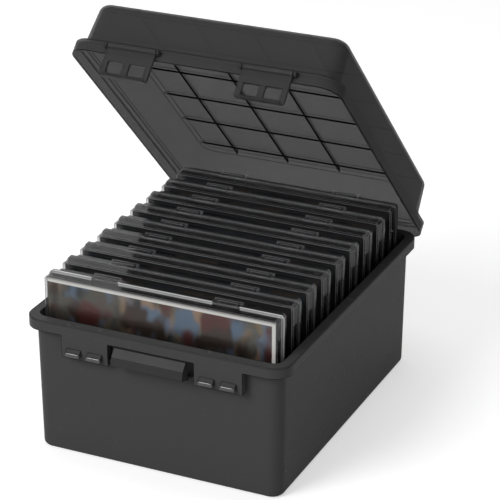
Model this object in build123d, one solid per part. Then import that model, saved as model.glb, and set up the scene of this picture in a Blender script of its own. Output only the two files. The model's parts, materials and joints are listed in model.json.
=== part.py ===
"""Photo keeper case: a lidded box that holds nine slim clamshell photo cases.

Units are millimetres.  The origin is the middle of the underside of the box, +Z is up and the
front, with the carry handle and the two clasps, faces -Y.  The lid, its clasps and everything on
them are drawn closed and then turned about the rear hinge to the angle at which the box stands open.
"""
import os
from math import atan2, degrees

from build123d import *

# ---------------------------------------------------------------- box
tub_half_x = 99.3            # half width of the box at its underside
tub_half_y = 126.0           # half depth of the box at its underside
tub_height = 110.0           # underside to rim
tub_draft = 1.2              # how much each wall leans out over the whole height
tub_corner = 10.0            # radius of the upright corners at the underside
tub_wall = 2.2
tub_floor = 2.4
tub_foot_radius = 4.0        # rounding between floor and walls, outside

flange_reach_x = 5.6         # how far the rim flange stands out from the wall, at the sides
flange_reach_y = 6.2         # and at the front and rear
flange_ledge = 2.0           # thickness of the flat rim
flange_skirt = 1.8           # thickness of the downturned edge
flange_height = 8.5          # rim to the lower edge of the skirt
flange_corner = 15.0
rim_bevel = 0.7              # along the outer edge of the rim, and of the lid's ledge

# ---------------------------------------------------------------- photo cases
case_count = 9
case_pitch = 27.3
case_half_x = 94.0
case_height = 138.0
case_depth = 20.8
cover_depth = 11.0           # depth of the front half; the rest is the tray
case_wall = 1.5
case_corner = 2.0            # bevel across each corner
case_edge_bevel = 1.0        # bevel round the outer edges of the two big faces
bead_proud = 0.6             # how far the seam beads stand out from the cover
bead_width = 1.2
seam_gap = 0.2
nest_depth = 3.0             # how far the tray's lip reaches into the cover
nest_clearance = 0.3
case_floor_gap = 0.2         # a case stands this far above the floor of the box

latch_centre_x = 49.0        # snap latches on the top edge, and hinges under them
latch_width = 22.0
latch_reach = 6.0            # how far the tab reaches back over the tray
latch_plate = 1.4
latch_lip = 0.9
latch_window_x = 14.0
latch_window_y = 2.8
latch_play = 0.3
case_hinge_sides = 8         # pins and eyes are eight-sided, which keeps this small repeated hinge light
case_hinge_pin = 1.0         # radius
case_hinge_fit = 0.25         # play round it
case_hinge_ring = 1.9        # half height of the eye round it
case_hinge_width = 12.0
case_hinge_arm = 2.6

print_thickness = 0.8
print_gap = 0.3              # between a print and the walls of its case

# ---------------------------------------------------------------- slot ribs inside the box
rib_thickness = 2.0
rib_reach = 9.0              # from the side wall inwards
rib_height = 46.0

# ---------------------------------------------------------------- lid
lid_open = 45.1              # degrees, as the box stands open
lid_clearance = 0.4          # skirt of the lid round the flange of the box
lid_rest_gap = 0.3           # lid ledge above the rim when shut
lid_skirt = 1.5
lid_ledge = 2.0
lid_overlap = 7.7            # how far the lid skirt reaches below the rim
lid_wall = 1.8
lid_wall_inset = 6.0         # outer face of the skirt to the foot of the lid wall
lid_draft = 1.8
lid_height = 34.7            # lid wall above the ledge
lid_corner = 12.0
lid_top_radius = 6.5
lid_roof_bevel = 2.4         # inside, where the walls meet the roof
lid_foot_bevel = 2.0         # fillet-like bevel where the wall meets the ledge
grid_pitch = 46.0            # square grid of stiffening ribs under the lid
grid_lines_x = 4
grid_lines_y = 6
grid_rib_width = 0.9
grid_rib_height = 1.1

# ---------------------------------------------------------------- lid hinge, at the rear
hinge_behind = 3.2           # axis behind the flange face
hinge_below = 5.3            # axis below the flange's lower edge
hinge_pin = 1.6              # radius
hinge_fit = 0.25             # radial play round each pin
hinge_barrel = 3.1
hinge_station_x = 60.0
hinge_knuckle = 20.0         # width of the box's knuckle
hinge_arm = 6.0              # width of each lid arm
hinge_side_gap = 0.5
hinge_arm_plate = 2.9        # lid arm's thickness outside the skirt

# ---------------------------------------------------------------- clasps and their lugs
clasp_centre_x = 54.0
clasp_width = 39.0
clasp_plate = 2.0
clasp_gap = 0.3              # between the clasp and the lid skirt
clasp_drop = 18.8            # below the lid skirt
clasp_barrel = 1.9
clasp_pivot_up = 5.7         # pivot above the lower edge of the lid skirt
clasp_pin = 1.0
clasp_ear = 2.3
clasp_ear_gap = 0.4
clasp_foot_lip = 1.6         # finger lip along the lower edge
window_spacing = 17.4
window_width = 12.6
window_height = 9.2
window_up = 3.1              # bar under the windows
lug_reach = 3.8
lug_width = 11.6
lug_height = 4.8
lug_round = 0.9              # rounded edges of the lug's nose
lug_play = 0.6               # lug above the bar of the clasp

pad_half_width = 19.2
pad_height = 17.5            # below the flange
pad_wall = 1.8

# ---------------------------------------------------------------- carry handle
handle_half_x = 29.0
handle_shell = 2.2
handle_top_gap = 0.5         # top edge below the flange and the shut lid's skirt
handle_slope_out = 4.6       # top edge to ridge, outwards
handle_slope_down = 5.4
handle_face_out = 1.7        # ridge to bottom edge
handle_face_down = 7.0
handle_front_gap = 0.9       # top edge in front of the flange face
handle_web = 2.4
handle_boss = 2.6
handle_pin = 1.6
handle_pin_up = 3.6          # pin above the lower edge of the pads
handle_pin_back = 3.4        # pin behind the face of the pads
handle_pin_bite = 1.5        # how far each pin sits in its pad


# ---------------------------------------------------------------- places worked out from the above
rim_half_x = tub_half_x + tub_draft
rim_half_y = tub_half_y + tub_draft
flange_half_x = rim_half_x + flange_reach_x
flange_half_y = rim_half_y + flange_reach_y
flange_low = tub_height - flange_height

lid_half_x = flange_half_x + lid_clearance + lid_skirt
lid_half_y = flange_half_y + lid_clearance + lid_skirt
lid_low = tub_height - lid_overlap
lid_ledge_low = tub_height + lid_rest_gap
lid_ledge_top = lid_ledge_low + lid_ledge
lid_top = lid_ledge_top + lid_height

hinge_y = flange_half_y + hinge_behind
hinge_z = flange_low - hinge_below
hinge_line = Axis((0, hinge_y, hinge_z), (1, 0, 0))

first_case_y = -(case_pitch * (case_count - 1) + case_depth) / 2
case_z = tub_floor + case_floor_gap

clasp_face_y = -lid_half_y - clasp_gap
clasp_pivot_y = clasp_face_y - clasp_barrel
clasp_pivot_z = lid_low + clasp_pivot_up
clasp_low = lid_low - clasp_drop

pad_low = flange_low - pad_height
handle_pin_y = -flange_half_y + handle_pin_back
handle_pin_z = pad_low + handle_pin_up


def block(x0, x1, y0, y1, z0, z1):
    """A plain block between two corners."""
    centre = ((x0 + x1) / 2, (y0 + y1) / 2, (z0 + z1) / 2)
    return Pos(*centre) * Box(abs(x1 - x0), abs(y1 - y0), abs(z1 - z0))


def rod_x(x0, x1, y, z, radius):
    """A round rod along X."""
    return Pos((x0 + x1) / 2, y, z) * Rot(0, 90, 0) * Cylinder(radius, abs(x1 - x0))


def facet_rod_x(x0, x1, y, z, radius):
    """A small eight-sided rod along X."""
    outline = Plane.YZ * Rot(0, 0, 22.5) * RegularPolygon(radius, case_hinge_sides)
    return Pos(min(x0, x1), y, z) * extrude(outline, abs(x1 - x0), dir=(1, 0, 0))


def slab(half_x, half_y, corner, z0, z1):
    """An upright prism on a rectangle with rounded corners."""
    outline = RectangleRounded(2 * half_x, 2 * half_y, corner)
    return extrude(Pos(0, 0, z0) * outline, z1 - z0)


def drafted(half_x, half_y, corner, z0, z1, lean):
    """Like slab, but each side leans out by lean (in, where it is negative) on the way up."""
    body = block(-half_x, half_x, -half_y, half_y, z0, z1)
    sides = [face for face in body.faces() if abs(face.normal_at().Z) < 0.5]
    body = draft(sides, Plane.XY.offset(z0), -degrees(atan2(lean, z1 - z0)))
    return fillet([edge for edge in body.edges() if abs(edge.tangent_at(0.5).Z) > 0.5], corner)


def extruded_x(points, x0, x1):
    """A profile given as (y, z) points, drawn out along X."""
    outline = make_face(Polyline([(0, y, z) for y, z in points], close=True))
    return Pos(x0, 0, 0) * extrude(outline, x1 - x0, dir=(1, 0, 0))


def end_face(shape, axis, last=True):
    """The face of a shape that lies furthest along an axis."""
    return shape.faces().sort_by(axis)[-1 if last else 0]


# ================================================================ box
def slot_ribs():
    """A low rib on both side walls between each two cases, so that each case has its own place."""
    inner_x = tub_half_x - tub_wall
    ribs = []
    for number in range(case_count - 1):
        middle = first_case_y + number * case_pitch + (case_depth + case_pitch) / 2
        for side in (-1, 1):
            x_wall = side * (inner_x + tub_wall / 2)
            x_tip = side * (inner_x - rib_reach)
            ribs.append(block(x_wall, x_tip, middle - rib_thickness / 2, middle + rib_thickness / 2,
                              tub_floor / 2, rib_height))
    return ribs


def latch_pad(side):
    """The hollow pad under the flange that a clasp closes over, with its two wedge lugs."""
    centre = side * clasp_centre_x
    face = -flange_half_y
    wall = -tub_half_y - tub_draft * pad_low / tub_height + tub_wall / 2
    x0, x1 = centre - pad_half_width, centre + pad_half_width
    pad = block(x0, x1, face, wall, pad_low, flange_low + flange_skirt)
    pad -= block(x0 + pad_wall, x1 - pad_wall, face + pad_wall, wall + 1, pad_low - 1, tub_height)
    lug_low = clasp_low + window_up + lug_play
    profile = [(face + pad_wall / 2, lug_low), (face - lug_reach, lug_low),
               (face - lug_reach, lug_low + lug_height / 2), (face, lug_low + lug_height),
               (face + pad_wall / 2, lug_low + lug_height)]
    for step in (-0.5, 0.5):
        x = centre + step * window_spacing
        lug = extruded_x(profile, x - lug_width / 2, x + lug_width / 2)
        nose = [edge for edge in lug.edges().filter_by(Axis.X) if edge.center().Y < face - lug_reach / 2]
        pad += fillet(nose, lug_round)
    return pad


def hinge_bracket(side):
    """The box's half of a hinge: a knuckle on a bracket, with a pin standing out at each end."""
    centre = side * hinge_station_x
    x0, x1 = centre - hinge_knuckle / 2, centre + hinge_knuckle / 2
    wall = rim_half_y - tub_wall / 2
    rib = extruded_x([(wall, hinge_z + hinge_barrel), (hinge_y, hinge_z + hinge_barrel),
                      (hinge_y, hinge_z - hinge_barrel), (wall, hinge_z - 4 * hinge_barrel)], x0, x1)
    rib -= extruded_x([(wall, hinge_z + 0.2), (hinge_y - hinge_barrel, hinge_z + 0.2),
                       (hinge_y - hinge_barrel, hinge_z - hinge_barrel * 0.6),
                       (wall, hinge_z - 3 * hinge_barrel)], x0 + 2, x1 - 2)
    knuckle = rod_x(x0, x1, hinge_y, hinge_z, hinge_barrel)
    reach = hinge_side_gap + hinge_arm
    pin = rod_x(x0 - reach, x1 + reach, hinge_y, hinge_z, hinge_pin)
    return rib + knuckle + pin


def base_tub():
    shell = drafted(tub_half_x, tub_half_y, tub_corner, 0, tub_height, tub_draft)
    shell = fillet(end_face(shell, Axis.Z, last=False).edges(), tub_foot_radius)
    skirt = slab(flange_half_x, flange_half_y, flange_corner, flange_low, tub_height)
    skirt = chamfer(end_face(skirt, Axis.Z).edges(), rim_bevel)
    skirt -= slab(flange_half_x - flange_skirt, flange_half_y - flange_skirt,
                  flange_corner - flange_skirt, flange_low - 1, tub_height - flange_ledge)
    tub = shell + skirt
    for side in (-1, 1):
        tub += latch_pad(side)
        tub += hinge_bracket(side)
    lean = tub_draft * (tub_height + 1 - tub_floor) / tub_height
    low_lean = tub_draft * tub_floor / tub_height - tub_wall
    hollow = drafted(tub_half_x + low_lean, tub_half_y + low_lean, tub_corner - tub_wall,
                     tub_floor, tub_height + 1, lean)
    tub -= chamfer(end_face(hollow, Axis.Z, last=False).edges(), tub_foot_radius - tub_wall)
    for rib in slot_ribs():
        tub += rib
    bore_depth = handle_pin_bite + 0.4
    for side in (-1, 1):
        inner = side * (clasp_centre_x - pad_half_width)
        tub -= rod_x(inner - side, inner + side * bore_depth, handle_pin_y, handle_pin_z,
                     handle_pin + hinge_fit)
    return tub


# ================================================================ photo cases
def case_shell(half_x, z0, z1, y0, y1, open_rear):
    """One half of a case: a shallow tray, bevelled round its closed big face."""
    body = block(-half_x, half_x, y0, y1, z0, z1)
    body = chamfer(body.edges().filter_by(Axis.Y), case_corner)
    closed = end_face(body, Axis.Y, last=not open_rear)
    body = chamfer(closed.edges(), case_edge_bevel)
    front = y0 + case_wall if open_rear else y0 - 1
    rear = y1 + 1 if open_rear else y1 - case_wall
    pocket = block(-half_x + case_wall, half_x - case_wall, front, rear, z0 + case_wall, z1 - case_wall)
    return body - pocket


def seam_bead(y0):
    """The raised bead that runs round the edge of one half at the seam."""
    half_x = case_half_x + bead_proud
    bead = block(-half_x, half_x, y0, y0 + bead_width, 0, case_height)
    return chamfer(bead.edges().filter_by(Axis.Y), case_corner)


cover_low = bead_proud
cover_high = case_height - bead_proud
tray_half_x = case_half_x - case_wall - nest_clearance
tray_low = cover_low + case_wall + nest_clearance
tray_high = cover_high - case_wall - nest_clearance
latch_low = case_height - latch_plate
latch_back = cover_depth + latch_reach
case_hinge_y = cover_depth + seam_gap + bead_width + case_hinge_ring + 0.3
case_hinge_z = case_hinge_ring + 0.05


def case_cover():
    """The front half: a clear window with the two snap latches and the hinge eyes."""
    cover = case_shell(case_half_x, cover_low, cover_high, 0, cover_depth, open_rear=True)
    bead = seam_bead(cover_depth - bead_width)
    bead -= block(-case_half_x + 0.5, case_half_x - 0.5, 0, case_depth, cover_low + 0.5, cover_high - 0.5)
    cover += bead
    for side in (-1, 1):
        x0 = side * latch_centre_x - latch_width / 2
        x1 = x0 + latch_width
        tab = block(x0, x1, cover_depth - bead_width, latch_back, latch_low, case_height)
        tab += block(x0, x1, latch_back - 1.2, latch_back, latch_low, case_height + latch_lip)
        window_front = latch_back - 1.2 - 0.8 - latch_window_y
        window_x = side * latch_centre_x
        tab -= block(window_x - latch_window_x / 2, window_x + latch_window_x / 2,
                     window_front, window_front + latch_window_y, latch_low - 1, case_height + 1)
        cover += tab
        eye_x0, eye_x1 = window_x - case_hinge_width / 2, window_x + case_hinge_width / 2
        eye = block(eye_x0, eye_x1, case_hinge_y - case_hinge_ring, case_hinge_y + case_hinge_ring,
                    case_hinge_z - case_hinge_ring, case_hinge_z + case_hinge_ring)
        eye = chamfer(eye.edges().filter_by(Axis.X), case_hinge_ring / 2)
        eye += block(eye_x0, eye_x1, cover_depth - bead_width, case_hinge_y - case_hinge_ring / 2,
                     case_hinge_z - case_hinge_ring, cover_low + 0.8)
        eye -= facet_rod_x(eye_x0 - 1, eye_x1 + 1, case_hinge_y, case_hinge_z,
                           case_hinge_pin + case_hinge_fit)
        cover += eye
    return cover


def case_tray():
    """The rear half: its lip nests in the cover, and it carries the catches and hinge pins."""
    tray = case_shell(tray_half_x, tray_low, tray_high, cover_depth - nest_depth, case_depth,
                      open_rear=False)
    bead = seam_bead(cover_depth + seam_gap)
    bead -= block(-tray_half_x + 0.5, tray_half_x - 0.5, 0, case_depth, tray_low + 0.5, tray_high - 0.5)
    for side in (-1, 1):
        x = side * latch_centre_x
        room = latch_width / 2 + latch_play
        bead -= block(x - room, x + room, cover_depth, case_depth, latch_low - latch_play, case_height + 1)
    tray += bead
    for side in (-1, 1):
        x = side * latch_centre_x
        room = case_hinge_width / 2 + latch_play
        slot = case_hinge_ring + latch_play
        tray -= block(x - room, x + room, cover_depth, case_hinge_y + slot, -1, case_hinge_z + slot)
    for side in (-1, 1):
        x = side * latch_centre_x
        nub_half = latch_window_x / 2 - latch_play
        nub_front = latch_back - 1.2 - 0.8 - latch_window_y + latch_play
        nub_back = nub_front + latch_window_y - 2 * latch_play
        tray += extruded_x([(nub_front, tray_high - 0.5), (nub_front, latch_low + 0.5),
                            (nub_back, case_height - 0.3), (nub_back, tray_high - 0.5)],
                           x - nub_half, x + nub_half)
        arm = case_hinge_width / 2 + latch_play
        tray += facet_rod_x(x - arm - case_hinge_arm, x + arm + case_hinge_arm,
                            case_hinge_y, case_hinge_z, case_hinge_pin)
        for end in (-1, 1):
            x_in = x + end * arm
            tray += block(x_in, x_in + end * case_hinge_arm, case_hinge_y - case_hinge_pin,
                          case_hinge_y + case_hinge_pin, case_hinge_z - case_hinge_pin, tray_low + 0.5)
    return tray


def photo_print():
    """The print that shows through the window of a case, standing on the case's lower wall."""
    half_x = case_half_x - case_wall - 2 * print_gap
    z0 = cover_low + case_wall + print_gap
    z1 = cover_high - case_wall - print_gap
    y0 = case_wall + print_gap
    return block(-half_x, half_x, y0, y0 + print_thickness, z0, z1)


# ================================================================ lid
def lid_shell():
    skirt = slab(lid_half_x, lid_half_y, flange_corner + lid_clearance + lid_skirt, lid_low, lid_ledge_top)
    skirt = chamfer(end_face(skirt, Axis.Z).edges(), rim_bevel)
    foot_x, foot_y = lid_half_x - lid_wall_inset, lid_half_y - lid_wall_inset
    dome = drafted(foot_x, foot_y, lid_corner, lid_ledge_top - lid_ledge / 2, lid_top, -lid_draft)
    dome = fillet(end_face(dome, Axis.Z).edges(), lid_top_radius)
    shell = skirt + dome
    foot = [edge for edge in shell.edges().filter_by_position(Axis.Z, lid_ledge_top, lid_ledge_top)
            if edge.bounding_box().max.Y < foot_y + 0.2 and edge.bounding_box().min.Y > -foot_y - 0.2
            and edge.bounding_box().max.X < foot_x + 0.2 and edge.bounding_box().min.X > -foot_x - 0.2]
    shell = chamfer(foot, lid_foot_bevel)
    shell -= slab(flange_half_x + lid_clearance, flange_half_y + lid_clearance,
                  flange_corner + lid_clearance, lid_low - 1, lid_ledge_low)
    hollow = drafted(foot_x - lid_wall, foot_y - lid_wall, lid_corner - lid_wall,
                     lid_low, lid_top - lid_wall, -lid_draft)
    hollow = chamfer(end_face(hollow, Axis.Z).edges(), lid_roof_bevel)
    grid = []
    roof = lid_top - lid_wall
    for number in range(grid_lines_x):
        x = (number - (grid_lines_x - 1) / 2) * grid_pitch
        grid.append(block(x - grid_rib_width / 2, x + grid_rib_width / 2, -foot_y, foot_y,
                          roof - grid_rib_height, roof + lid_wall / 2))
    for number in range(grid_lines_y):
        y = (number - (grid_lines_y - 1) / 2) * grid_pitch
        grid.append(block(-foot_x, foot_x, y - grid_rib_width / 2, y + grid_rib_width / 2,
                          roof - grid_rib_height, roof + lid_wall / 2))
    for rib in grid:
        hollow -= rib
    shell -= hollow
    for side in (-1, 1):
        shell += clasp_ears(side)
        shell += hinge_arms(side)
    return shell


def clasp_ears(side):
    """Two ears on the front of the skirt, bored for the pins of a clasp."""
    ears = None
    for end in (-1, 1):
        x_in = side * clasp_centre_x + end * (clasp_width / 2 + clasp_ear_gap)
        x_out = x_in + end * clasp_ear
        ear = rod_x(x_in, x_out, clasp_pivot_y, clasp_pivot_z, clasp_barrel)
        ear += block(x_in, x_out, clasp_pivot_y, -lid_half_y + lid_skirt / 2,
                     clasp_pivot_z - clasp_barrel, clasp_pivot_z + clasp_barrel)
        ear -= rod_x(x_in - end, x_in + end * (clasp_ear - 0.8), clasp_pivot_y, clasp_pivot_z,
                     clasp_pin + hinge_fit)
        ears = ear if ears is None else ears + ear
    return ears


def hinge_arms(side):
    """Two arms that reach down from the rear of the skirt to the pins of the box's knuckle."""
    arms = None
    for end in (-1, 1):
        x_in = side * hinge_station_x + end * (hinge_knuckle / 2 + hinge_side_gap)
        x_out = x_in + end * hinge_arm
        inside = flange_half_y + lid_clearance
        outside = lid_half_y + hinge_arm_plate
        profile = [(inside, lid_low + 0.5), (inside, hinge_z + hinge_barrel * 0.5), (hinge_y, hinge_z),
                   (outside, hinge_z), (outside, lid_ledge_low - 1.5),
                   (lid_half_y, lid_ledge_low), (lid_half_y - lid_skirt / 2, lid_ledge_low),
                   (lid_half_y - lid_skirt / 2, lid_low + 0.5)]
        arm = extruded_x(profile, min(x_in, x_out), max(x_in, x_out))
        arm += rod_x(x_in, x_out, hinge_y, hinge_z, hinge_barrel)
        arm -= rod_x(x_in - end, x_out + end, hinge_y, hinge_z, hinge_pin + hinge_fit)
        arms = arm if arms is None else arms + arm
    return arms


def clasp(side):
    """A snap clasp: a plate with two windows, hung on a barrel with a stub pin at each end."""
    centre = side * clasp_centre_x
    x0, x1 = centre - clasp_width / 2, centre + clasp_width / 2
    front = clasp_face_y - clasp_plate
    plate = block(x0, x1, front, clasp_face_y, clasp_low, clasp_pivot_z)
    plate = fillet(plate.edges().filter_by(Axis.Y).group_by(Axis.Z)[0], 2.0)
    for step in (-0.5, 0.5):
        x = centre + step * window_spacing
        z0 = clasp_low + window_up
        window = block(x - window_width / 2, x + window_width / 2, front - 1, clasp_face_y + 1,
                       z0, z0 + window_height)
        plate -= window
    lip = extruded_x([(front + 0.5, clasp_low + 2.4), (front, clasp_low + 2.4),
                      (front - clasp_foot_lip, clasp_low + 0.7), (front - clasp_foot_lip, clasp_low),
                      (front + 0.5, clasp_low)], x0 + 2.5, x1 - 2.5)
    body = plate + lip + rod_x(x0, x1, clasp_pivot_y, clasp_pivot_z, clasp_barrel)
    pin_reach = clasp_ear_gap + clasp_ear - 1.2
    return body + rod_x(x0 - pin_reach, x1 + pin_reach, clasp_pivot_y, clasp_pivot_z, clasp_pin)


# ================================================================ carry handle
def handle_profile(thin):
    """Outline of the grip in (y, z); thin moves its inner side to leave only the shell."""
    top_y = -flange_half_y - handle_front_gap
    top_z = min(lid_low, flange_low) - handle_top_gap
    ridge = (top_y - handle_slope_out, top_z - handle_slope_down)
    foot = (ridge[0] - handle_face_out, ridge[1] - handle_face_down)
    outer = [(top_y + handle_shell, top_z), (top_y, top_z), ridge, foot]
    if thin:
        return outer + [(foot[0] + handle_shell, foot[1]), (ridge[0] + handle_shell, ridge[1] - 1.0),
                        (top_y + handle_shell, top_z - handle_shell)]
    return outer + [(handle_pin_y - handle_boss, handle_pin_z - handle_boss * 0.5),
                    (handle_pin_y - handle_boss * 0.3, handle_pin_z + handle_boss)]


def carry_handle():
    grip = extruded_x(handle_profile(thin=True), -handle_half_x, handle_half_x)
    inner_pad = clasp_centre_x - pad_half_width
    for side in (-1, 1):
        x_in = side * (handle_half_x - handle_web)
        x_out = side * handle_half_x
        grip += extruded_x(handle_profile(thin=False), min(x_in, x_out), max(x_in, x_out))
        grip += rod_x(x_in, x_out, handle_pin_y, handle_pin_z, handle_boss)
        grip += rod_x(x_in, side * (inner_pad + handle_pin_bite), handle_pin_y, handle_pin_z, handle_pin)
    outer_edges = [edge for edge in grip.edges().filter_by(Axis.X)
                   if edge.length > handle_half_x and edge.center().Y < -flange_half_y - handle_front_gap - 1
                   and edge.center().Y < handle_pin_y - handle_slope_out]
    ridge_edges = sorted(outer_edges, key=lambda edge: edge.center().Y)
    return fillet(ridge_edges[:2], 0.8)


def whole(shape):
    """The single solid that a node must be."""
    solids = shape.solids()
    if len(solids) != 1:
        raise ValueError(f"expected one solid, got {len(solids)}")
    return solids[0]


def main():
    os.makedirs("parts", exist_ok=True)
    nodes = {"base_tub": base_tub()}
    nodes["lid_shell"] = lid_shell().rotate(hinge_line, -lid_open)
    for name, side in (("left", -1), ("right", 1)):
        nodes[f"clasp_{name}"] = clasp(side).rotate(hinge_line, -lid_open)
    nodes["carry_handle"] = carry_handle()
    cover, tray, sheet = case_cover(), case_tray(), photo_print()
    for number in range(case_count):
        place = Pos(0, first_case_y + number * case_pitch, case_z)
        nodes[f"case_cover_{number + 1}"] = place * cover
        nodes[f"case_tray_{number + 1}"] = place * tray
        nodes[f"photo_print_{number + 1}"] = place * sheet
    for name, shape in nodes.items():
        export_step(whole(shape), f"parts/{name}.step")


if __name__ == "__main__":
    main()
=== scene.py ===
import json
import math

import bpy
from mathutils import Matrix, Vector


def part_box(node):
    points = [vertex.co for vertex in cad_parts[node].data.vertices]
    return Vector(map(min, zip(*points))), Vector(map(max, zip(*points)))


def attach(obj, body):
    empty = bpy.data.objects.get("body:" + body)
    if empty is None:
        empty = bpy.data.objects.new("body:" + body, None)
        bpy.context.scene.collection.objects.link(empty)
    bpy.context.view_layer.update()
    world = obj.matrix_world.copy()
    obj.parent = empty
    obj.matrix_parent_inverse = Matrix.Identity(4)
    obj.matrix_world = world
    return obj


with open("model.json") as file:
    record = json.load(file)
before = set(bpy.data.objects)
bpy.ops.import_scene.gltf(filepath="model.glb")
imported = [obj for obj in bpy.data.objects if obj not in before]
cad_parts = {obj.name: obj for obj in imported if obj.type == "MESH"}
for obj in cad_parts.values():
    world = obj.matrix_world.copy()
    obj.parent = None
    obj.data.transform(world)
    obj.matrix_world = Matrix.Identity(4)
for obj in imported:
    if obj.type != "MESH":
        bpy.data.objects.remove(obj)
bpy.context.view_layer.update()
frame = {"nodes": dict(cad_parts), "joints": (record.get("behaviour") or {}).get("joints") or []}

# ---------------------------------------------------------------- sizes
# Sizes and places are in millimetres, in the frame of the box: x to the right, -y to the front, z up.
MM = 0.001                                    # in metres

# Lid: it stands open on its hinge, and its roof is stiffened by a grid of fine ribs.
lid_hinge = [joint for joint in frame["joints"] if joint["name"] == "lid_hinge"][0]
HINGE = tuple(place / MM for place in lid_hinge["pos_m"])
LID_OPEN = math.radians(-lid_hinge["range_deg"][0])
GRID_PITCH, GRID_RIB = 46.0, 0.9
GRID_COLUMNS, GRID_ROWS = 4, 6
ROOF_LOW = 144.0                              # underside of the ribs, with the lid shut
RIB_SIDE, RIB_FOOT = 0.1, 1.0                 # beyond a rib's faces: painted as dark as the rib, and then plain

# Box: two latch pads under the rim, each with two lugs for a clasp.
PAD_CENTRE, LUG_SPACING = 54.0, 17.4
LUG_NOSE_Y, LUG_NOSE_Z = -136.0, 88.5
LUG_NOSE_SIZE = (12.2, 3.2, 3.4)

# Photo cases: a clear cover with two latch tabs on its top edge, a tray behind it and a print inside.
CASES = 9
WINDOW_WIDTH, WINDOW_TOP = 185.0, 138.0       # clear front of a case; its top is a height in the box
COVER_DEPTH, BEAD_WIDTH = 11.0, 1.2           # from a cover's front to the back of its seam bead
LATCH_CENTRE, LATCH_WIDTH = 49.0, 22.0
LATCH_LIP = 0.9                               # lip on a tab's rear edge, over the face with the ridges
RIDGE_FRONT, RIDGE_STEP = 11.6, 3.8           # first grip ridge behind the cover's front, and the next one
RIDGE_SIZE = (19.0, 0.45, 0.5)
PRINT_WIDTH, PRINT_HEIGHT = 181.0, 127.0      # picture inside its border
PRINT_SHIFT = -1.4                            # the picture runs to the left edge of its paper
print_low, print_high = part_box("photo_print_1")
PRINT_MIDDLE = (print_low[2] + print_high[2]) / 2 / MM


# ---------------------------------------------------------------- small helpers
MIXED_COLOUR = 2                              # which output of a Mix node carries a colour


def srgb(code):
    """A colour written as an sRGB hex value, in the linear values that shaders take."""
    parts = [int(code[i:i + 2], 16) / 255 for i in (1, 3, 5)]
    return tuple(c / 12.92 if c <= 0.04045 else ((c + 0.055) / 1.055) ** 2.4 for c in parts) + (1.0,)


def add(tree, kind, inputs=None, **settings):
    """Adds a node with its settings; an input is set to a value or linked to a socket."""
    made = tree.nodes.new(kind)
    for name, value in settings.items():
        setattr(made, name, value)
    for key, value in (inputs or {}).items():
        if isinstance(key, str):
            into = [socket for socket in made.inputs if socket.enabled and socket.name == key][0]
        else:
            into = made.inputs[key]
        if isinstance(value, bpy.types.NodeSocket):
            tree.links.new(value, into)
        else:
            into.default_value = value
    return made


def new_material(name):
    """An empty node material with its output, and object coordinates in millimetres."""
    material = bpy.data.materials.new(name)
    material.use_nodes = True
    tree = material.node_tree
    tree.nodes.clear()
    output = add(tree, "ShaderNodeOutputMaterial")
    place = add(tree, "ShaderNodeTexCoord").outputs["Object"]
    in_mm = add(tree, "ShaderNodeVectorMath", {0: place, "Scale": 1 / MM}, operation="SCALE").outputs[0]
    return material, tree, output, in_mm


def band(tree, value, middle, half):
    """1 where value is within half of middle, and 0 elsewhere."""
    away = add(tree, "ShaderNodeMath", {0: value, 1: middle}, operation="SUBTRACT").outputs[0]
    size = add(tree, "ShaderNodeMath", {0: away}, operation="ABSOLUTE").outputs[0]
    return add(tree, "ShaderNodeMath", {0: size, 1: half}, operation="LESS_THAN").outputs[0]


# ---------------------------------------------------------------- where the plastic is thick and painted dark
def grid_line(tree, value, count, half):
    """1 within half of the ribs that cross this direction, one every GRID_PITCH and symmetric about 0."""
    offset = (count % 2) * GRID_PITCH / 2
    shifted = add(tree, "ShaderNodeMath", {0: value, 1: offset}, operation="ADD").outputs[0]
    beside = add(tree, "ShaderNodeMath", {0: shifted, 1: GRID_PITCH},
                 operation="FLOORED_MODULO").outputs[0]
    line = band(tree, beside, GRID_PITCH / 2, half)
    inside = band(tree, value, 0.0, count / 2 * GRID_PITCH)
    return add(tree, "ShaderNodeMath", {0: line, 1: inside}, operation="MULTIPLY").outputs[0]


def lid_ribs(tree, in_mm, at_edge):
    """1 on the fine stiffening ribs of the lid, 0 close beside them, and at_edge on the rest of the lid;
    the lid is painted dark as painted shade where this is 1.  The ribs are found in the frame of the shut
    lid."""
    shut = add(tree, "ShaderNodeVectorRotate", {
        "Vector": in_mm, "Center": HINGE, "Axis": (1, 0, 0), "Angle": LID_OPEN},
        rotation_type="AXIS_ANGLE").outputs[0]
    x, y, z = add(tree, "ShaderNodeSeparateXYZ", {0: shut}).outputs
    high = add(tree, "ShaderNodeMath", {0: z, 1: ROOF_LOW}, operation="GREATER_THAN").outputs[0]
    near = []
    for half in (GRID_RIB / 2 + RIB_SIDE, GRID_RIB / 2 + RIB_FOOT):
        lines = add(tree, "ShaderNodeMath", {
            0: grid_line(tree, x, GRID_COLUMNS, half), 1: grid_line(tree, y, GRID_ROWS, half)},
            operation="MAXIMUM").outputs[0]
        near.append(add(tree, "ShaderNodeMath", {0: lines, 1: high}, operation="MULTIPLY").outputs[0])
    rib, beside = near
    away = add(tree, "ShaderNodeMath", {0: at_edge, 1: beside}, operation="SUBTRACT",
               use_clamp=True).outputs[0]
    return add(tree, "ShaderNodeMath", {0: away, 1: rib}, operation="MAXIMUM").outputs[0]


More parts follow.
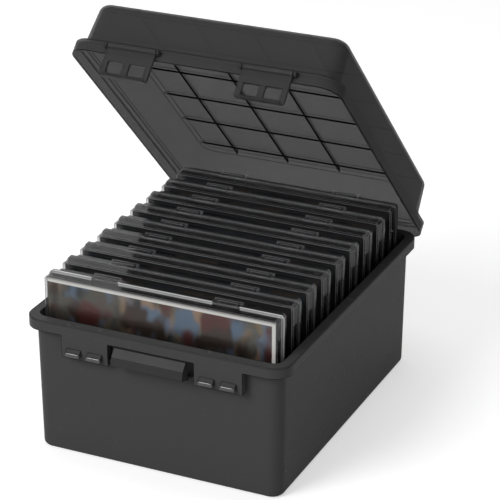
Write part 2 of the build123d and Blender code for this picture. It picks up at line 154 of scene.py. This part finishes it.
# ---------------------------------------------------------------- materials
def moulded(tree, in_mm, edge_mm, ripple_mm, ripple_strength, soft_edges):
    """The direction of a moulded surface, with a faint ripple; 1 at its edges; and the ripple itself."""
    ripple_height = 0.6
    flat, turned = 0.998, 0.98                # cosine between the true and the rounded direction
    ripple = add(tree, "ShaderNodeTexNoise", {
        "Vector": in_mm, "Scale": 1 / ripple_mm, "Detail": 2.0, "Roughness": 0.5}).outputs["Fac"]
    rounded = add(tree, "ShaderNodeBevel", {"Radius": edge_mm * MM}, samples=8).outputs[0]
    true = add(tree, "ShaderNodeNewGeometry").outputs["Normal"]
    alike = add(tree, "ShaderNodeVectorMath", {0: rounded, 1: true},
                operation="DOT_PRODUCT").outputs["Value"]
    at_edge = add(tree, "ShaderNodeMapRange", {
        "Value": alike, "From Min": flat, "From Max": turned}).outputs[0]
    direction = add(tree, "ShaderNodeBump", {
        "Height": ripple, "Strength": ripple_strength, "Distance": ripple_height * MM,
        "Normal": rounded if soft_edges else true}).outputs[0]
    return direction, at_edge, ripple


def smoke_polypropylene(name, colour, clearness, gloss, edge_mm, shine, thick=None):
    """Smoke-tinted moulded polypropylene: dark and even, with a soft gloss.  Light comes through a flat
    wall, but not through a rib or an edge, where the plastic is thicker, and those are tinted near black
    as painted shade, so they show as dark lines also on a wall that lets no light through.
    clearness is what one of a wall's two surfaces lets through, gloss a roughness and shine how strongly
    it mirrors.  thick adds other thick places to the edges, which are painted dark too."""
    material, tree, output, in_mm = new_material(name)
    hollows, crests = 0.3, 0.7                # the range that most of the ripple lies in
    direction, at_edge, ripple = moulded(tree, in_mm, edge_mm, ripple_mm=12.0, ripple_strength=0.04,
                                         soft_edges=True)
    rough = add(tree, "ShaderNodeMapRange", {
        "Value": ripple, "From Min": hollows, "From Max": crests,
        "To Min": gloss - 0.03, "To Max": gloss + 0.04}).outputs[0]
    thick_and_painted_shade = thick(tree, in_mm, at_edge) if thick else at_edge
    # Edges and thick places are tinted near black: painted shade lines.
    tint = add(tree, "ShaderNodeMix", {"Factor": thick_and_painted_shade, "A": srgb(colour), "B": srgb("#0C0C0D")},
               data_type="RGBA").outputs[MIXED_COLOUR]
    shader = add(tree, "ShaderNodeBsdfPrincipled", {
        "Base Color": tint, "Roughness": rough, "Normal": direction,
        "IOR": 1.49, "Specular IOR Level": shine})
    if clearness:
        cover = add(tree, "ShaderNodeMapRange", {
            "Value": thick_and_painted_shade, "To Min": 1 - clearness, "To Max": 1.0}).outputs[0]
        tree.links.new(cover, shader.inputs["Alpha"])
    tree.links.new(shader.outputs[0], output.inputs["Surface"])
    return material


def clear_polystyrene(name, colour, edge_highlight_colour, clearness, rim_clearness, gloss, edge_mm, seam=None):
    """Clear polystyrene with a smoke tint, moulded and polished.  What lies behind shows through the front
    window; the rim round it is seen edge-on and lets less through; and the edges are tinted pale, a
    painted highlight for the light that the edges gather from inside the plastic, so pale lines are drawn
    round each part.  seam is a place in y and a colour, for a cover whose seam bead is painted pale
    between its latches, a painted highlight."""
    edge_cover, bead_cover = 0.7, 0.95        # how much of what is behind them these hide
    material, tree, output, in_mm = new_material(name)
    direction, at_edge, ripple = moulded(tree, in_mm, edge_mm, ripple_mm=20.0, ripple_strength=0.02,
                                         soft_edges=False)
    x, y, z = add(tree, "ShaderNodeSeparateXYZ", {0: in_mm}).outputs
    below_rim = add(tree, "ShaderNodeMath", {0: z, 1: WINDOW_TOP}, operation="LESS_THAN").outputs[0]
    window = add(tree, "ShaderNodeMath", {0: band(tree, x, 0.0, WINDOW_WIDTH / 2), 1: below_rim},
                 operation="MULTIPLY").outputs[0]
    flat = add(tree, "ShaderNodeMapRange", {
        "Value": window, "To Min": 1 - rim_clearness, "To Max": 1 - clearness}).outputs[0]
    # Edges are tinted pale: a painted highlight.
    tint = add(tree, "ShaderNodeMix", {"Factor": at_edge, "A": srgb(colour), "B": srgb(edge_highlight_colour)},
               data_type="RGBA").outputs[MIXED_COLOUR]
    cover = add(tree, "ShaderNodeMapRange", {
        "Value": at_edge, "To Min": flat, "To Max": edge_cover}).outputs[0]
    if seam:
        seam_y, seam_highlight_colour = seam
        aside = add(tree, "ShaderNodeMath", {0: x}, operation="ABSOLUTE").outputs[0]
        at_latch = band(tree, aside, LATCH_CENTRE, LATCH_WIDTH / 2)
        bead = add(tree, "ShaderNodeMath", {0: band(tree, y, seam_y, BEAD_WIDTH / 2), 1: at_latch},
                   operation="SUBTRACT", use_clamp=True).outputs[0]
        # The seam bead between the latches is tinted near white: a painted highlight.
        tint = add(tree, "ShaderNodeMix", {"Factor": bead, "A": tint, "B": srgb(seam_highlight_colour)},
                   data_type="RGBA").outputs[MIXED_COLOUR]
        cover = add(tree, "ShaderNodeMapRange", {
            "Value": bead, "To Min": cover, "To Max": bead_cover}).outputs[0]
    shader = add(tree, "ShaderNodeBsdfPrincipled", {
        "Base Color": tint, "Roughness": gloss, "Normal": direction, "Alpha": cover,
        "IOR": 1.59, "Specular IOR Level": 0.5})
    tree.links.new(shader.outputs[0], output.inputs["Surface"])
    return material


def photo_paper(name, border, ground, blots, blot_mm, light):
    """Glossy photo paper with a soft, out-of-focus picture of plain blots of colour, darker towards its
    foot, and a border above, below and to the right of it.  The darker foot is painted shade, for the
    box's dark front wall mirrored in the cover.  Each case's print lies at another depth, which
    changes its picture."""
    depth_stretch, height_stretch = 3.7, 0.7  # how fast the blots change into the box and up the paper
    blot_apart = Vector((97.0, 41.0, 0.0))    # takes each colour's blots from another part of the noise
    blot_rim, blot_core = 0.5, 0.62           # noise at which a blot starts, and is in full colour
    foot_low, foot_high, foot_light = 34.0, 52.0, 0.38    # painted shade over the foot: heights above the middle of the paper, and how much light is left
    material, tree, output, in_mm = new_material(name)
    x, y, z = add(tree, "ShaderNodeSeparateXYZ", {0: in_mm}).outputs
    up = add(tree, "ShaderNodeMath", {0: z, 1: PRINT_MIDDLE}, operation="SUBTRACT").outputs[0]
    inside = add(tree, "ShaderNodeMath", {
        0: band(tree, x, PRINT_SHIFT, PRINT_WIDTH / 2), 1: band(tree, up, 0.0, PRINT_HEIGHT / 2)},
        operation="MULTIPLY").outputs[0]
    deep = add(tree, "ShaderNodeMath", {0: y, 1: depth_stretch}, operation="MULTIPLY").outputs[0]
    tall = add(tree, "ShaderNodeMath", {0: up, 1: height_stretch}, operation="MULTIPLY").outputs[0]
    spot = add(tree, "ShaderNodeCombineXYZ", {0: x, 1: deep, 2: tall}).outputs[0]
    picture = srgb(ground)
    for number, colour in enumerate(blots):
        moved = add(tree, "ShaderNodeVectorMath", {0: spot, 1: blot_apart * number}).outputs[0]
        cloud = add(tree, "ShaderNodeTexNoise", {
            "Vector": moved, "Scale": 1 / blot_mm, "Detail": 2.5, "Roughness": 0.45}).outputs["Fac"]
        blot = add(tree, "ShaderNodeMapRange", {
            "Value": cloud, "From Min": blot_rim, "From Max": blot_core},
            interpolation_type="SMOOTHSTEP").outputs[0]
        picture = add(tree, "ShaderNodeMix", {"Factor": blot, "A": picture, "B": srgb(colour)},
                      data_type="RGBA").outputs[MIXED_COLOUR]
    # Painted shade: the picture darkens towards its foot.
    shade = add(tree, "ShaderNodeMapRange", {
        "Value": up, "From Min": foot_low, "From Max": foot_high,
        "To Min": foot_light * light, "To Max": light}, interpolation_type="SMOOTHSTEP").outputs[0]
    toned = add(tree, "ShaderNodeVectorMath", {0: picture, "Scale": shade}, operation="SCALE").outputs[0]
    face = add(tree, "ShaderNodeMix", {"Factor": inside, "A": srgb(border), "B": toned},
               data_type="RGBA").outputs[MIXED_COLOUR]
    shader = add(tree, "ShaderNodeBsdfPrincipled", {"Base Color": face, "Roughness": 0.14, "IOR": 1.5})
    tree.links.new(shader.outputs[0], output.inputs["Surface"])
    return material


def paint(name, material):
    """Gives a CAD node its material."""
    data = frame["nodes"][name].data
    data.materials.clear()
    data.materials.append(material)


# ---------------------------------------------------------------- grip ridges and lug noses
def ridge_tree(material):
    """Geometry nodes that set equal ridges in equal rows.  Roundings is how often a ridge is smoothed."""
    tree = bpy.data.node_groups.new("rows_of_ridges", "GeometryNodeTree")
    for name, kind in (("First Ridge", "Vector"), ("Rows", "Int"), ("Row Step", "Vector"),
                       ("Ridges", "Int"), ("Ridge Step", "Vector"), ("Ridge Size", "Vector"),
                       ("Roundings", "Int")):
        tree.interface.new_socket(name, in_out="INPUT", socket_type="NodeSocket" + kind)
    tree.interface.new_socket("Geometry", in_out="OUTPUT", socket_type="NodeSocketGeometry")
    given = add(tree, "NodeGroupInput").outputs
    block = add(tree, "GeometryNodeMeshCube", {
        "Size": given["Ridge Size"], "Vertices X": 4, "Vertices Y": 3, "Vertices Z": 3}).outputs["Mesh"]
    ridge = add(tree, "GeometryNodeSubdivisionSurface", {
        "Mesh": block, "Level": given["Roundings"], "Edge Crease": 0.1}).outputs[0]
    places = add(tree, "GeometryNodeMeshLine", {
        "Count": given["Ridges"], "Offset": given["Ridge Step"]}, mode="OFFSET").outputs[0]
    row = add(tree, "GeometryNodeInstanceOnPoints", {"Points": places, "Instance": ridge}).outputs[0]
    starts = add(tree, "GeometryNodeMeshLine", {
        "Count": given["Rows"], "Offset": given["Row Step"], "Start Location": given["First Ridge"]},
        mode="OFFSET").outputs[0]
    rows = add(tree, "GeometryNodeInstanceOnPoints", {"Points": starts, "Instance": row}).outputs[0]
    whole = add(tree, "GeometryNodeRealizeInstances", {"Geometry": rows}).outputs[0]
    coated = add(tree, "GeometryNodeSetMaterial", {"Geometry": whole, "Material": material}).outputs[0]
    end = add(tree, "NodeGroupOutput")
    tree.links.new(coated, end.inputs["Geometry"])
    return tree


def made_by(tree, name, values):
    """A plain mesh piece made by a geometry node tree with these inputs."""
    holder = bpy.data.objects.new(name + "_maker", bpy.data.meshes.new(name + "_seed"))
    bpy.context.collection.objects.link(holder)
    modifier = holder.modifiers.new("made", "NODES")
    modifier.node_group = tree
    for item in tree.interface.items_tree:
        if item.in_out == "INPUT" and item.name in values:
            modifier[item.identifier] = values[item.name]
    bpy.context.view_layer.update()
    graph = bpy.context.evaluated_depsgraph_get()
    mesh = bpy.data.meshes.new_from_object(holder.evaluated_get(graph))
    bpy.data.objects.remove(holder)
    mesh.name = name
    piece = bpy.data.objects.new(name, mesh)
    bpy.context.collection.objects.link(piece)
    return piece


def latch_ridges(tree, number):
    """The two fine ridges on each latch tab of a case, in front of its slot and behind it."""
    low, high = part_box(f"case_cover_{number}")
    first = (-LATCH_CENTRE * MM, low[1] + RIDGE_FRONT * MM, high[2] + (RIDGE_SIZE[2] / 2 - LATCH_LIP) * MM)
    piece = made_by(tree, f"latch_ridges_{number}", {
        "First Ridge": first, "Rows": 2, "Row Step": (2 * LATCH_CENTRE * MM, 0, 0),
        "Ridges": 2, "Ridge Step": (0, RIDGE_STEP * MM, 0),
        "Ridge Size": tuple(size * MM for size in RIDGE_SIZE), "Roundings": 0})
    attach(piece, f"photo_case_{number}")


def lug_noses(tree):
    """The rounded, polished noses of the four lugs that the clasps snap over."""
    first = ((-PAD_CENTRE - LUG_SPACING / 2) * MM, LUG_NOSE_Y * MM, LUG_NOSE_Z * MM)
    piece = made_by(tree, "lug_noses", {
        "First Ridge": first, "Rows": 2, "Row Step": (2 * PAD_CENTRE * MM, 0, 0),
        "Ridges": 2, "Ridge Step": (LUG_SPACING * MM, 0, 0),
        "Ridge Size": tuple(size * MM for size in LUG_NOSE_SIZE), "Roundings": 2})
    for face in piece.data.polygons:
        face.use_smooth = True
    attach(piece, "box")


# ---------------------------------------------------------------- studio, in metres
def camera():
    """The view from the front right and from above."""
    azimuth, elevation, roll = (math.radians(angle) for angle in (24.664, 24.270, 0.082))
    place, lens, sensor = Vector((0.67327, -1.42737, 0.84085)), 163.15, 36
    back = Vector((math.sin(azimuth) * math.cos(elevation), -math.cos(azimuth) * math.cos(elevation),
                   math.sin(elevation)))
    level = Vector((math.cos(azimuth), math.sin(azimuth), 0))
    upright = back.cross(level)
    right = math.cos(roll) * level + math.sin(roll) * upright
    up = back.cross(right)
    data = bpy.data.cameras.new("view")
    data.lens, data.sensor_width = lens, sensor
    made = bpy.data.objects.new("view", data)
    bpy.context.collection.objects.link(made)
    turn = Matrix((right, up, back)).transposed().to_4x4()
    made.matrix_world = Matrix.Translation(place) @ turn
    bpy.context.scene.camera = made


def lamp(name, place, size, power):
    """A round white lamp turned to the box."""
    aim = Vector((0, 0, 0.1))
    data = bpy.data.lights.new(name, "AREA")
    data.shape, data.size, data.energy = "DISK", size, power
    made = bpy.data.objects.new(name, data)
    bpy.context.collection.objects.link(made)
    turn = (aim - Vector(place)).to_track_quat("-Z", "Y").to_matrix().to_4x4()
    made.matrix_world = Matrix.Translation(place) @ turn


def seen_rays(tree):
    """1 for the rays that show the room itself: straight, mirrored or refracted."""
    ray = add(tree, "ShaderNodeLightPath").outputs
    seen = add(tree, "ShaderNodeMath", {0: ray["Is Camera Ray"], 1: ray["Is Glossy Ray"]},
               operation="MAXIMUM").outputs[0]
    return add(tree, "ShaderNodeMath", {0: seen, 1: ray["Is Transmission Ray"]},
               operation="MAXIMUM").outputs[0]


def white_room():
    """The room is white to look at and lights the box weakly from all round."""
    lights, seen = 0.28, 1.0
    world = bpy.data.worlds.new("white_room")
    world.use_nodes = True
    bpy.context.scene.world = world
    tree = world.node_tree
    tree.nodes.clear()
    output = add(tree, "ShaderNodeOutputWorld")
    level = add(tree, "ShaderNodeMapRange", {"Value": seen_rays(tree), "To Min": lights, "To Max": seen})
    light = add(tree, "ShaderNodeBackground", {"Color": srgb("#FFFFFF"), "Strength": level.outputs[0]})
    tree.links.new(light.outputs[0], output.inputs["Surface"])


def table():
    """A plain white table that keeps the box's shadow and glows only to the eye, less so when mirrored."""
    half = 6.0
    glow, lost_in_mirrors = 0.5, -0.35
    mesh = bpy.data.meshes.new("floor")
    mesh.from_pydata([(-half, -half, 0), (half, -half, 0), (half, half, 0), (-half, half, 0)], [],
                     [(0, 1, 2, 3)])
    floor = bpy.data.objects.new("floor", mesh)
    bpy.context.collection.objects.link(floor)
    material = bpy.data.materials.new("white_table")
    material.use_nodes = True
    tree = material.node_tree
    tree.nodes.clear()
    output = add(tree, "ShaderNodeOutputMaterial")
    ray = add(tree, "ShaderNodeLightPath").outputs
    mirrored = add(tree, "ShaderNodeMath", {0: ray["Is Glossy Ray"], 1: lost_in_mirrors},
                   operation="MULTIPLY").outputs[0]
    strength = add(tree, "ShaderNodeMath", {0: seen_rays(tree), 1: glow, 2: mirrored},
                   operation="MULTIPLY_ADD").outputs[0]
    matte = add(tree, "ShaderNodeBsdfDiffuse", {"Color": srgb("#E6E6E6")})
    lift = add(tree, "ShaderNodeEmission", {"Color": srgb("#FFFFFF"), "Strength": strength})
    both = add(tree, "ShaderNodeAddShader", {0: matte.outputs[0], 1: lift.outputs[0]})
    tree.links.new(both.outputs[0], output.inputs["Surface"])
    mesh.materials.append(material)


# ---------------------------------------------------------------- put together
camera()
white_room()
table()
lamp("key", (-1.0, -1.9, 1.5), size=1.4, power=42)
lamp("top", (-0.2, 0.4, 2.0), size=1.2, power=9)
lamp("fill", (1.5, -1.3, 0.8), size=0.9, power=4)

# The box is drawn opaque, because a wall that is almost opaque renders with specks.  The lid and the
# clasps let a little light pass.
tub = smoke_polypropylene(
    "smoke_polypropylene_box", "#424242", clearness=0.0, gloss=0.24, edge_mm=0.7, shine=0.04)
lid = smoke_polypropylene(
    "smoke_polypropylene_lid", "#3E3E3E", clearness=0.245, gloss=0.22, edge_mm=0.7, shine=0.012,
    thick=lid_ribs)
clasp = smoke_polypropylene(
    "smoke_polypropylene_clasp", "#3C3C3C", clearness=0.23, gloss=0.16, edge_mm=0.4, shine=0.05)
grip = smoke_polypropylene(
    "smoke_polypropylene_grip", "#353535", clearness=0.0, gloss=0.2, edge_mm=0.5, shine=0.05)
# The noses are glossier than the box, so that a light line shows along each.
polished = smoke_polypropylene(
    "polished_polypropylene_lug", "#2C2C2C", clearness=0.0, gloss=0.06, edge_mm=0.1, shine=1.0)

front_of_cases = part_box("case_cover_1")[0][1] / MM
seam_of_first = front_of_cases + COVER_DEPTH - BEAD_WIDTH / 2
cover = clear_polystyrene(
    "clear_polystyrene_cover", "#161617", "#A8A8AA", clearness=0.87, rim_clearness=0.6, gloss=0.08,
    edge_mm=0.3)
# The front case's cover is the same plastic with a painted highlight along its seam bead.
front_cover = clear_polystyrene(
    "clear_polystyrene_front_cover", "#161617", "#A8A8AA", clearness=0.87, rim_clearness=0.6, gloss=0.08,
    edge_mm=0.3, seam=(seam_of_first, "#E8E8E8"))
ridge = clear_polystyrene(
    "clear_polystyrene_latch", "#161617", "#505052", clearness=0.6, rim_clearness=0.6, gloss=0.1,
    edge_mm=0.15)
tray = clear_polystyrene(
    "smoke_polystyrene_tray", "#151516", "#747476", clearness=0.3, rim_clearness=0.3, gloss=0.12,
    edge_mm=0.3)

front_print = photo_paper(
    "glossy_photo_paper", "#FAF8F4", "#66625A",
    ("#94805F", "#3C4346", "#AC9078", "#6C8097", "#463A32", "#643834"), blot_mm=24, light=0.85)
# The prints of the cases behind the first are the same paper painted darker, border and all: painted shade
# for the shade between the cases.
shaded_print = photo_paper(
    "glossy_photo_paper_shaded", "#303032", "#3A423F",
    ("#585046", "#464C54", "#605448", "#2A2E34"), blot_mm=30, light=0.45)

paint("base_tub", tub)
paint("lid_shell", lid)
paint("clasp_left", clasp)
paint("clasp_right", clasp)
paint("carry_handle", grip)
for number in range(1, CASES + 1):
    paint(f"case_cover_{number}", front_cover if number == 1 else cover)
    paint(f"case_tray_{number}", tray)
    paint(f"photo_print_{number}", front_print if number == 1 else shaded_print)

ridges = ridge_tree(ridge)
for number in range(1, CASES + 1):
    latch_ridges(ridges, number)
lug_noses(ridge_tree(polished))

bpy.context.scene.view_settings.view_transform = "Standard"
